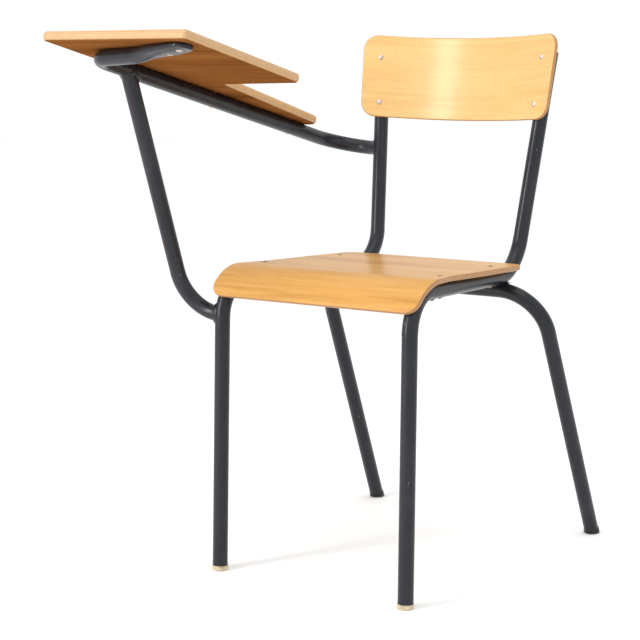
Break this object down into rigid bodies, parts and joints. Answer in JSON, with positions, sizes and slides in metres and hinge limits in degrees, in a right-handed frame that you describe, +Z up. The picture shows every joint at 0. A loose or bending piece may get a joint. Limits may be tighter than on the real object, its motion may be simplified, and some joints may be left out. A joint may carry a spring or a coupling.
{
  "type": "student desk chair",
  "caption": "Steel tube chair with a rolled plywood seat, a curved plywood backrest and a plywood writing tablet on a bent tube arm at the sitter's right.",
  "frame": {"origin": "on the floor, in the middle of the chair's bounding box, between the tablet's outer edge and the rear left foot and between the tablet's front edge and the rear feet", "axes": "+Z up from the floor; -Y is the way the sitter faces; -X is the sitter's right, where the writing tablet is; the chair's own middle plane is at X = 0.0310 m"},
  "size_m": [0.488, 0.7008, 0.7783],
  "materials": {
    "frame_paint": "dark blue-grey gloss paint on bent steel tube",
    "weld_paint": "the frame's paint over a lumpy weld bead",
    "seat_plywood": "varnished beech plywood, grain across the seat",
    "backrest_plywood": "varnished beech plywood, grain across the backrest",
    "tablet_plywood": "varnished beech plywood with bare layered edges",
    "rivet_aluminium": "domed rivets, dulled by use",
    "glide_plastic": "cream plastic, worn",
    "cap_plastic": "black plastic plug"
  },
  "bodies": {
    "root": {"right_side_tube": "frame_paint", "left_side_tube": "frame_paint", "rear_leg_arch": "frame_paint", "front_cross_tube": "frame_paint", "arm_tube": "frame_paint", "arm_support_tube": "frame_paint", "right_arch_weld": "weld_paint", "left_arch_weld": "weld_paint", "right_cross_weld": "weld_paint", "left_cross_weld": "weld_paint", "support_leg_weld": "weld_paint", "support_arm_weld": "weld_paint", "arm_upright_weld": "weld_paint", "seat_shell": "seat_plywood", "backrest_shell": "backrest_plywood", "tablet_board": "tablet_plywood", "seat_rivets": "rivet_aluminium", "backrest_rivets": "rivet_aluminium", "tablet_front_rivets": "rivet_aluminium", "tablet_arm_rivets": "rivet_aluminium", "right_upright_cap": "cap_plastic", "left_upright_cap": "cap_plastic", "front_right_foot": "glide_plastic", "front_left_foot": "glide_plastic", "rear_right_foot": "glide_plastic", "rear_left_foot": "glide_plastic"}
  },
  "joints": []
}
